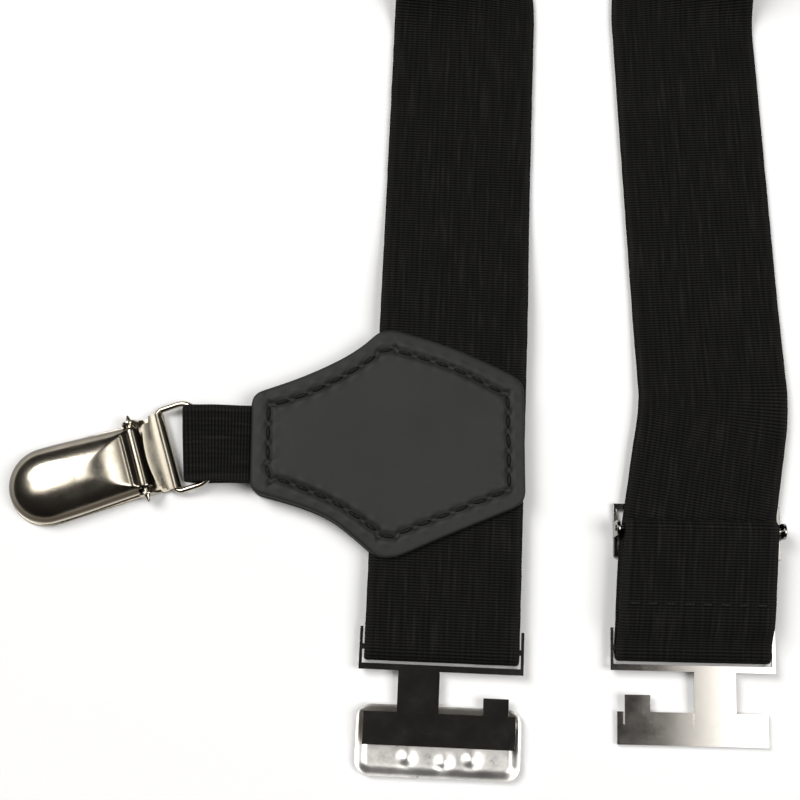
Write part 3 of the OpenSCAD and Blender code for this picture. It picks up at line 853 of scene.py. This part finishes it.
# %% Relief of the sewn leather
def line_distance(point, line):
    best = 1e9
    for i, a in enumerate(line):
        b = line[(i + 1) % len(line)]
        ab = b - a
        t = max(0.0, min(1.0, (point - a).dot(ab) / max(ab.length_squared, 1e-9)))
        best = min(best, (point - a - ab * t).length)
    return best


def seam_relief(point):
    """How far the leather's face lies below its level at this point."""
    spot, direction = min(stitches, key=lambda s: (s[0] - point).length_squared)
    offset = point - spot
    along = offset.dot(direction)
    aside = abs(offset.x * direction.y - offset.y * direction.x)
    to_hole = abs(abs(along) - STITCH_PITCH / 2)
    groove = 0.34 * math.exp(-(aside / 0.62) ** 2)
    hole = 0.55 * math.exp(-(aside / 0.42) ** 2 - (to_hole / 0.42) ** 2)
    beside = math.exp(-((aside - 1.15) / 0.6) ** 2)
    puff = 0.14 * beside * (0.4 + 0.6 * math.cos(2 * math.pi * along / STITCH_PITCH))
    return groove + hole - puff


def patch_piece(name, bottom, facing, voxel):
    """One leather: its outline raised to a blank, remeshed, then given its relief."""
    bm = bmesh.new()
    blank(bm, [tuple(p) for p in patch_outline], bottom, bottom + LEATHER, round_by=0.42, segments=4)
    bmesh.ops.scale(bm, vec=(MM,) * 3, verts=bm.verts)
    mesh = bpy.data.meshes.new(name)
    bm.to_mesh(mesh)
    bm.free()
    piece = bpy.data.objects.new(name, mesh)
    bpy.context.scene.collection.objects.link(piece)
    remesh = piece.modifiers.new("remesh", "REMESH")
    remesh.mode = "VOXEL"
    remesh.voxel_size = voxel * MM
    evaluated = piece.evaluated_get(bpy.context.evaluated_depsgraph_get())
    shaped = bpy.data.meshes.new_from_object(evaluated)
    bpy.data.objects.remove(piece)
    bm = bmesh.new()
    bm.from_mesh(shaped)
    bpy.data.meshes.remove(shaped)
    bmesh.ops.scale(bm, vec=(1 / MM,) * 3, verts=bm.verts)
    bmesh.ops.smooth_vert(
        bm, verts=bm.verts, factor=0.5, use_axis_x=True, use_axis_y=True, use_axis_z=True
    )
    middle = bottom + LEATHER / 2
    for v in bm.verts:
        flat = v.co.to_2d()
        edge = line_distance(flat, patch_outline)
        outer = v.co.z > middle if facing > 0 else v.co.z < middle
        droop = 0.16 * math.exp(-edge / 1.2)
        swell = 0.10 * noise.noise(Vector((flat.x * 0.12, flat.y * 0.12, bottom)))
        if outer:
            v.co.z -= facing * (seam_relief(flat) + droop * 0.6)
            v.co.z += facing * (0.11 * smooth_step(1.5, 9, edge) + swell * 0.5)
        if facing > 0:
            v.co.z -= droop * 0.5
    return finished(bm, name, leather, sharp_angle=180)


patch_top = patch_piece("patch_leather_front", PATCH_WEB_Z + WEB, 1, 0.28)
settle(patch_top, "leather", "band", "patch_front")
patch_under = patch_piece("patch_leather_back", 0.0, -1, 0.34)
settle(patch_under, "leather", "band", "patch_back")

# %% [markdown]
# ## Stitches
# One stitch is a short, slightly arched length of thread that dives into a hole at each end. A
# small rounded rod is made once and copied to every place, a few dozen faces each.


# %% Stitch maker
def add_stitch(bm, spot, direction, length, radius, level, facing):
    made = bmesh.ops.create_uvsphere(bm, u_segments=8, v_segments=12, radius=1)["verts"]
    along = Vector((direction.x, direction.y, 0))
    aside = Vector((-direction.y, direction.x, 0))
    for v in made:
        x, y, z = v.co
        # the ball's waist is stretched to a rod with blunt ends
        plump = (1 - abs(z) ** 3.5) ** 0.5 / max(math.hypot(x, y), 1e-6)
        lift = facing * (y * plump * radius + 0.06 - 0.42 * abs(z) ** 3)
        v.co = Vector((spot.x, spot.y, level + lift)) + along * z * length / 2 \
            + aside * x * plump * radius


def stitch_row(name, spots, length, radius, level, facing, material):
    bm = bmesh.new()
    for i, (spot, direction) in enumerate(spots):
        skew = 0.05 * math.sin(i * 2.4)
        turned = Vector((
            direction.x * math.cos(skew) - direction.y * math.sin(skew),
            direction.x * math.sin(skew) + direction.y * math.cos(skew),
        ))
        add_stitch(bm, spot, turned, length, radius, level, facing)
    return finished(bm, name, material, sharp_angle=60)


# %% Thread of the patch and of the hem
patch_face = PATCH_WEB_Z + WEB + LEATHER
patch_thread = stitch_row(
    "patch_thread_front", stitches, STITCH_LENGTH, 0.31, patch_face - 0.24, 1, thread
)
settle(patch_thread, "thread", "band", "patch_stitches")
back_thread = stitch_row("patch_thread_back", stitches, STITCH_LENGTH, 0.2, 0.24, -1, thread)
settle(back_thread, "thread", "band")

HEM_STITCHES = 8
hem_spots = []
for i in range(HEM_STITCHES):
    w = (i - (HEM_STITCHES - 1) / 2) * (BAND_WIDTH - 1.6) / HEM_STITCHES
    spot = right_pivot + right_along * 7.0 + right_side * w
    hem_spots.append((spot.to_2d(), right_side.to_2d()))
hem_thread = stitch_row(
    "hem_thread", hem_spots, 2.3, 0.26, bar_z + wrap_radius + WEB / 2 - 0.17, 1, thread
)
settle(hem_thread, "thread", "slider", "hem_stitches")

# %% [markdown]
# ## Stamped and bent metal
# The clasp halves and the adjuster are stamped from sheet. Their engineering solids have the right
# shape with knife-sharp edges, so each is copied, its loose triangles are welded and merged into
# flat faces, and every edge gets the small radius that stamping and plating leave.


# %% Rounded copy of a stamped part
def plated_copy(node, name, material, radius, segments=2):
    bm = bmesh.new()
    bm.from_mesh(frame["nodes"][node].data)
    bmesh.ops.scale(bm, vec=(1 / MM,) * 3, verts=bm.verts)
    bmesh.ops.remove_doubles(bm, verts=bm.verts, dist=1e-4)
    bmesh.ops.dissolve_limit(
        bm, angle_limit=math.radians(1), use_dissolve_boundaries=False, verts=bm.verts, edges=bm.edges
    )
    sharp = [e for e in bm.edges if e.calc_face_angle(0) > math.radians(30)]
    bmesh.ops.bevel(
        bm, geom=sharp, offset=radius, offset_type="OFFSET", segments=segments,
        profile=0.5, affect="EDGES", material=-1, clamp_overlap=True,
    )
    return keep_flat(finished(bm, name, material, sharp_angle=50))


for node, name, body, radius, plate in (
    ("left_hook", "left_clasp_hook", "left_clasp", 0.13, bright_nickel),
    ("right_hook", "right_clasp_hook", "right_clasp", 0.13, bright_nickel),
    ("slider_frame", "adjuster_frame", "slider", 0.12, slider_nickel),
):
    piece = plated_copy(node, name, plate, radius)
    settle(piece, "nickel", body, node)

# the loose bar takes the same dark nickel, with its painted dark reflection
bar_finish = frame["nodes"]["slider_bar"].data.materials
bar_finish.clear()
bar_finish.append(slider_nickel)

# %% [markdown]
# The cover plate is a shallow pressed dish. Seen from inside, its floor is smooth, with three
# pressed dimples, and its rim rolls up all round. The dish is a grid whose height follows the
# distance to a rounded outline, then it is given its wall.

# %% Cover plate
COVER_W, COVER_H, COVER_R = 26.4, 11.2, 2.4
PLATE_V, COVER_LIP = -10.1, 1.1
HALF_SHEET, DISH_GAP = 0.4, 0.06
cover_centre_v = PLATE_V - COVER_H / 2 + COVER_LIP
DIMPLES = [(-4.9, -2.7), (1.0, -3.2), (5.4, -2.6)]


def outline_distance(x, y, half_w, half_h, radius):
    """Distance inside a rounded rectangle."""
    dx, dy = abs(x) - (half_w - radius), abs(y) - (half_h - radius)
    outside = math.hypot(max(dx, 0), max(dy, 0))
    return radius - outside - min(max(dx, dy), 0) * (1 if outside == 0 else 0)


def dished_plate():
    bm = bmesh.new()
    bmesh.ops.create_grid(bm, x_segments=88, y_segments=44, size=0.5)
    half_w, half_h = COVER_W / 2, COVER_H / 2
    rim_z = left_pivot.z - HALF_SHEET - DISH_GAP
    for v in bm.verts:
        # square to rounded rectangle: pull the grid's corners in to the corner circles
        x, y = v.co.x * 2 * half_w, v.co.y * 2 * half_h
        cx = max(abs(x) - (half_w - COVER_R), 0) / COVER_R
        cy = max(abs(y) - (half_h - COVER_R), 0) / COVER_R
        if cx > 0 and cy > 0:
            shrink = max(cx, cy) / math.hypot(cx, cy)
            x = math.copysign(half_w - COVER_R + cx * shrink * COVER_R, x)
            y = math.copysign(half_h - COVER_R + cy * shrink * COVER_R, y)
        inside = outline_distance(x, y, half_w, half_h, COVER_R)
        drop = rim_z - 0.55
        z = 0.5 + drop * (1 - smooth_step(0.0, 2.0, inside)) ** 1.3
        for dx, dy in DIMPLES:
            z += 0.38 * math.exp(-((x - dx) ** 2 + (y - dy) ** 2) / 1.15)
        spot = left_pivot + left_side * x + left_along * (cover_centre_v + y)
        v.co = Vector((spot.x, spot.y, z))
    face_up(bm)
    give_wall(bm, list(bm.faces), 0.45)
    return finished(bm, "clasp_cover_dish", pressed_nickel, sharp_angle=50)


cover_plate = dished_plate()
settle(cover_plate, "nickel", "left_clasp", "clasp_cover_plate")

# %% [markdown]
# ## Ring
# The ring is one closed length of wire, bent to a flat oval. Its section is a circle that is pulled
# round the centre line.

# %% Ring
ring_axis = Vector(joints["ring_swing"]["axis"])
clip_pivot = Vector(joints["clip_swing"]["pos_m"]) / MM
RING_WIRE, RING_SPAN, RING_HALF = 0.5, 7.0, 7.1
CLIP_CORNER, STRAP_CORNER = 1.3, 2.9
ring_out = (clip_pivot - ring_pivot).normalized()
ring_middle = (clip_pivot + ring_pivot) / 2
ring_up = ring_out.cross(ring_axis)


def ring_centre_line(steps=10):
    points = []
    for i, (sx, sy) in enumerate(((1, 1), (-1, 1), (-1, -1), (1, -1))):
        corner = CLIP_CORNER if sx > 0 else STRAP_CORNER
        cx, cy = sx * (RING_SPAN / 2 - corner), sy * (RING_HALF - corner)
        for a in arc_angles(math.radians(90 * i), math.radians(90), steps):
            points.append(ring_middle + ring_out * (cx + corner * math.cos(a))
                          + ring_axis * (cy + corner * math.sin(a)))
    return points


def wire_loop(name, points, radius, material, sides=14):
    bm = bmesh.new()
    rings = []
    count = len(points)
    for i, p in enumerate(points):
        along = (points[(i + 1) % count] - points[i - 1]).normalized()
        out = along.cross(ring_up).normalized()
        circle = bmesh.ops.create_circle(bm, segments=sides, radius=radius)["verts"]
        for v in circle:
            v.co = p + out * v.co.x + ring_up * v.co.y
        rings.append(list({e for v in circle for e in v.link_edges}))
    for i in range(count):
        bmesh.ops.bridge_loops(bm, edges=rings[i] + rings[(i + 1) % count])
    return finished(bm, name, material, sharp_angle=80)


ring = wire_loop("clip_ring_wire", ring_centre_line(), RING_WIRE, satin_nickel)
settle(ring, "satin_nickel", "ring", "clip_ring")

# %% [markdown]
# ## Clip
# The clip has its own axes: u runs from the hinge pin to the round tip, v across, z up. The cover
# is a pressed dome. A flat, sloping facet cuts its rear end in a triangle, and behind the facet the
# sheet curls down round the pin.

# %% Clip axes
pin_pivot = Vector(joints["cover_opening"]["pos_m"]) / MM
clip_axis = Vector(joints["cover_opening"]["axis"])
clip_out = Vector((0, 0, 1)).cross(clip_axis) * -1
if clip_out.dot(pin_pivot - ring_pivot) < 0:
    clip_out = -clip_out
TIP_U, TIP_R, HINGE_HALF = 15.7, 6.4, 5.75
PIN_Z = pin_pivot.z
COVER_TOP, COVER_RIM, CURL_R = 5.35, 1.1, 1.22
EDGE_U, FACET_LENGTH, FACET_DROP = 0.8, 9.4, 2.02


def clip_point(u, v, z):
    spot = pin_pivot + clip_out * u + clip_axis * v
    return Vector((spot.x, spot.y, z))


def onto_clip(bm):
    """Carries a piece modelled in (u, v, z) to its place."""
    for vert in bm.verts:
        vert.co = clip_point(*vert.co)


def cover_half_width(u):
    if u > TIP_U:
        return math.sqrt(max(0.0, TIP_R ** 2 - (u - TIP_U) ** 2))
    return HINGE_HALF + (TIP_R - HINGE_HALF) * smooth_step(-2, TIP_U, u)


def soft_lower(a, b, soft):
    """The lower of two heights, with the crease between them rounded."""
    return (a + b - math.hypot(a - b, soft)) / 2


def dome_height(u, v):
    if u > TIP_U:
        inside = TIP_R - math.hypot(u - TIP_U, v)
    else:
        inside = cover_half_width(u) - abs(v)
    x = min(1.0, max(0.0, inside / TIP_R))
    top = COVER_TOP - 0.5 * smooth_step(11, 21, u) - 0.1 * (1 - smooth_step(0, 9, u))
    dome = COVER_RIM + (top - COVER_RIM) * (1 - (1 - x) ** 2.3) ** 0.5
    # the facet falls from the dome's crest to the rear edge, steeper as it goes, and ends in a ridge
    run = (u - EDGE_U) / FACET_LENGTH
    facet = top + 0.06 - FACET_DROP * max(0.0, 1 - run) ** 2.2 + 2.0 * max(0.0, run - 1)
    facet += 0.17 * math.exp(-((u - 1.5) / 0.28) ** 2)
    return soft_lower(dome, facet, 0.12)


# %% Pressed cover
def pressed_cover():
    bm = bmesh.new()
    rows, columns = 96, 56
    bmesh.ops.create_grid(bm, x_segments=columns, y_segments=rows, size=0.5)
    for vert in bm.verts:
        s = vert.co.y + 0.5
        # rows crowd towards the tip, where the outline turns
        if s < 0.7:
            u = EDGE_U + (TIP_U - EDGE_U) * s / 0.7
        else:
            u = TIP_U + TIP_R * math.sin((s - 0.7) / 0.3 * math.pi / 2)
        across = math.sin(vert.co.x * math.pi)
        v = across * cover_half_width(u)
        vert.co = Vector((u, v, dome_height(u, v)))
    bmesh.ops.remove_doubles(bm, verts=bm.verts, dist=1e-4)
    # the curl behind the facet is spun about the pin
    rear = [
        e for e in bm.edges
        if e.is_boundary and all(x.co.x < EDGE_U + 0.01 and x.co.z > PIN_Z + 0.6 for x in e.verts)
    ]
    bmesh.ops.spin(
        bm, geom=rear, cent=(0, 0, PIN_Z), axis=(0, 1, 0), dvec=(0, 0, 0),
        angle=-math.radians(135), steps=12, use_merge=False,
    )
    face_up(bm)
    give_wall(bm, list(bm.faces), 0.42)
    onto_clip(bm)
    return finished(bm, "clip_cover_shell", cover_nickel, sharp_angle=50)


cover = pressed_cover()
settle(cover, "satin_nickel", "clip_cover", "clip_cover")

# %% [markdown]
# Under the cover lie the lower plate and the inner jaw. The lower plate turns round the ring's bar,
# and its flap comes back on top with an arched edge. Two ears stand up beside the cover and hold
# the pin, whose ends show as small points.

# %% Lower plate of the clip
SHEET = 0.5
bar_u = -(pin_pivot - clip_pivot).to_2d().length
EAR_IN, EAR_BACK = HINGE_HALF + 0.15, 2.2
FLAP_NARROW, FLAP_WIDE = 5.4, 6.5
EAR_R, FLAP_ROWS, JAW_STEPS = 1.3, 16, 28


def lower_plate():
    bm = bmesh.new()
    jaw_r = TIP_R + 0.25
    jaw = [
        (TIP_U + jaw_r * math.cos(a), jaw_r * math.sin(a))
        for a in arc_angles(-math.pi / 2, math.pi, JAW_STEPS)
    ]
    outline = jaw + [
        (1.8, HINGE_HALF + 0.5), (-EAR_BACK, EAR_IN + SHEET), (-EAR_BACK - 0.3, FLAP_WIDE),
        (bar_u, FLAP_WIDE), (bar_u, -FLAP_WIDE), (-EAR_BACK - 0.3, -FLAP_WIDE),
        (-EAR_BACK, -EAR_IN - SHEET), (1.8, -HINGE_HALF - 0.5),
    ]
    blank(bm, outline, 0.0, SHEET, round_by=0.12)
    # the ears: an outline in (u, z), stood up beside the cover
    arc = [
        (EAR_R * math.cos(a), PIN_Z + EAR_R * math.sin(a)) for a in arc_angles(0, math.pi, 10)
    ]
    ear = [(EAR_R, 0.2)] + arc + [(-1.5, 1.7), (-EAR_BACK, 1.2), (-EAR_BACK, 0.2)]
    for sign in (-1, 1):
        before = set(bm.verts)
        blank(bm, ear, 0, SHEET, round_by=0.1)
        for vert in set(bm.verts) - before:
            u, z, t = vert.co
            vert.co = Vector((u, sign * (EAR_IN + t), z))
    # the flap: a strip that turns round the ring's bar and comes back on top
    inner = RING_WIRE + 0.05
    route = [(bar_u + 0.3, SHEET / 2)] + [
        (bar_u - (inner + SHEET / 2) * math.sin(a), clip_pivot.z - (inner + SHEET / 2) * math.cos(a))
        for a in arc_angles(0, math.pi, 12)
    ]
    flap_z = clip_pivot.z + inner + SHEET / 2
    reach = -bar_u - CURL_R - 0.15
    route += [
        (bar_u + reach * i / FLAP_ROWS, flap_z + 0.1 * smooth_step(4, FLAP_ROWS, i))
        for i in range(1, FLAP_ROWS + 1)
    ]
    before = set(bm.verts)
    bmesh.ops.create_grid(bm, x_segments=24, y_segments=len(route) - 1, size=0.5)
    strip = set(bm.verts) - before
    faces = {f for v in strip for f in v.link_faces}
    for vert in strip:
        row = round((vert.co.y + 0.5) * (len(route) - 1))
        u, z = route[row]
        across = vert.co.x * 2
        last = max(0, row - (len(route) - 1 - FLAP_ROWS)) / FLAP_ROWS
        half = FLAP_WIDE + (FLAP_NARROW - FLAP_WIDE) * smooth_step(0.5, 0.62, last)
        # the free edge is arched, and its middle comes closest to the hinge
        u -= 0.75 * last * across * across
        vert.co = Vector((u, across * half, z))
    give_wall(bm, list(faces), SHEET)
    onto_clip(bm)
    return keep_flat(finished(bm, "clip_lower_plate", satin_nickel, sharp_angle=50))


base = lower_plate()
settle(base, "satin_nickel", "clip_body", "clip_base")


# %% [markdown]
# The pin's ends are peened to blunt points. A cylinder is narrowed at both ends, so it reads as a
# rivet and not as a cut rod.


# %% Hinge pin
PIN_R = 0.6


def hinge_pin():
    bm = bmesh.new()
    half = EAR_IN + SHEET + 1.1
    bmesh.ops.create_cone(
        bm, cap_ends=True, segments=20, radius1=PIN_R, radius2=PIN_R, depth=2 * half
    )
    long_edges = [e for e in bm.edges if abs(e.verts[0].co.z - e.verts[1].co.z) > half]
    bmesh.ops.subdivide_edges(bm, edges=long_edges, cuts=24)
    for vert in bm.verts:
        x, y, z = vert.co
        thin = 1 - 0.75 * smooth_step(half - 1.0, half, abs(z)) ** 0.8
        vert.co = clip_point(x * thin, z, PIN_Z + y * thin)
    return finished(bm, "clip_hinge_pin", satin_nickel, sharp_angle=50)


pin = hinge_pin()
settle(pin, "satin_nickel", "clip_body", "clip_pin")

# %% [markdown]
# The inner jaw and the two grip pads are hidden when the clip is shut, and show when it opens. The
# pads are moulded with cross ribs that hold the sock.


# %% Inner jaw and grip pads
def ribbed_pad(name, low, high, facing):
    bm = bmesh.new()
    reach = TIP_R - 1
    flat_u = TIP_U - 4.5
    outline = [(flat_u, -reach + 0.1)] + [
        (TIP_U + reach * math.cos(a), reach * math.sin(a))
        for a in arc_angles(-math.pi / 2, math.pi, 24)
    ] + [(flat_u, reach - 0.1)]
    blank(bm, outline, low, high - 0.16 if facing > 0 else high, round_by=0.08)
    ribs = 7
    for i in range(ribs):
        u = flat_u + 0.8 + i * 1.35
        half = min(reach - 0.5, math.sqrt(max(0.1, reach ** 2 - max(0, u - TIP_U) ** 2)) - 0.45)
        z0, z1 = (high - 0.2, high) if facing > 0 else (low, low + 0.2)
        blank(bm, box_outline(u, u + 0.6, -half, half), z0, z1, round_by=0.07)
    onto_clip(bm)
    return finished(bm, name, grip, sharp_angle=40)


tongue = plated_copy("clip_tongue", "clip_inner_jaw", satin_nickel, 0.1)
for v in tongue.data.vertices:
    # its knuckle is drawn in, so that the cover's curl passes over it
    from_pin = v.co / MM - pin_pivot
    in_plane = from_pin - clip_axis * from_pin.dot(clip_axis)
    if in_plane.length < 1.4:
        v.co -= in_plane * 0.3 * MM
settle(tongue, "satin_nickel", "clip_jaw", "clip_tongue")
lower_pad = ribbed_pad("clip_lower_grip", SHEET, 1.0, 1)
settle(lower_pad, "grip", "clip_body", "lower_grip_pad")
upper_pad = ribbed_pad("clip_upper_grip", 1.1, 1.6, -1)
settle(upper_pad, "grip", "clip_jaw", "upper_grip_pad")

# %% [markdown]
# ## Studio
# A white table under two lamps. Polished metal shows what it reflects, so the sky is dark apart from
# two bright windows: one lights the clip's crown, and the edge of the other runs across the right
# clasp and misses the left one.


# %% Floor
def studio_floor():
    bm = bmesh.new()
    bmesh.ops.create_grid(bm, x_segments=2, y_segments=2, size=1.2)
    material, tree, skin = new_material("pale_floor")
    skin.inputs["Base Color"].default_value = (0.93, 0.93, 0.93, 1)
    skin.inputs["Roughness"].default_value = 0.9
    skin.inputs["Specular IOR Level"].default_value = 0.1
    floor = finished(bm, "floor", material, scale=1.0)
    for v in floor.data.vertices:
        v.co.z = cad_low.z - 0.0002


studio_floor()


# %% Sky and lamps
def window_mask(tree, parts, low, high, soft):
    """A soft-edged rectangle of the sky, given by its limits in X and Y."""
    mask = None
    for axis in (0, 1):
        for limit, way in ((low[axis], 1), (high[axis], -1)):
            edge = map_range(tree, parts[axis], limit - way * soft, limit + way * soft, smooth=True)
            mask = edge if mask is None else math_node(tree, "MULTIPLY", mask, edge)
    return mask


def studio_light():
    world = bpy.data.worlds.new("studio")
    bpy.context.scene.world = world
    world.use_nodes = True
    tree = world.node_tree
    back = tree.nodes["Background"]
    parts = split(tree, tree.nodes.new("ShaderNodeTexCoord").outputs["Generated"])
    left = window_mask(tree, parts, (-0.62, -0.10), (-0.15, 0.50), 0.06)
    right = window_mask(tree, parts, (0.222, -0.50), (0.42, 0.40), 0.05)
    windows = math_node(tree, "ADD", left, right, clamp=True)
    above = math_node(tree, "GREATER_THAN", parts[2], 0.0)
    windows = math_node(tree, "MULTIPLY", windows, above)
    colour = colour_mix(tree, windows, (0.62, 0.58, 0.54), (1.0, 0.985, 0.96))
    tree.links.new(colour, back.inputs["Color"])
    power = math_node(tree, "ADD", math_node(tree, "MULTIPLY", windows, 2.4), 0.024)
    tree.links.new(power, back.inputs["Strength"])
    for name, place_at, size, power in (
        ("key", (-0.45, 0.32, 0.75), 0.4, 4.4), ("fill", (0.48, -0.12, 0.7), 0.4, 3.4)
    ):
        data = bpy.data.lights.new(name, "AREA")
        data.size = size
        data.energy = power
        lamp = bpy.data.objects.new(name, data)
        lamp.location = place_at
        lamp.rotation_euler = (-Vector(place_at)).to_track_quat("-Z", "Y").to_euler()
        bpy.context.scene.collection.objects.link(lamp)


studio_light()
bpy.context.scene.view_settings.view_transform = "Standard"
bpy.context.scene.view_settings.look = "None"
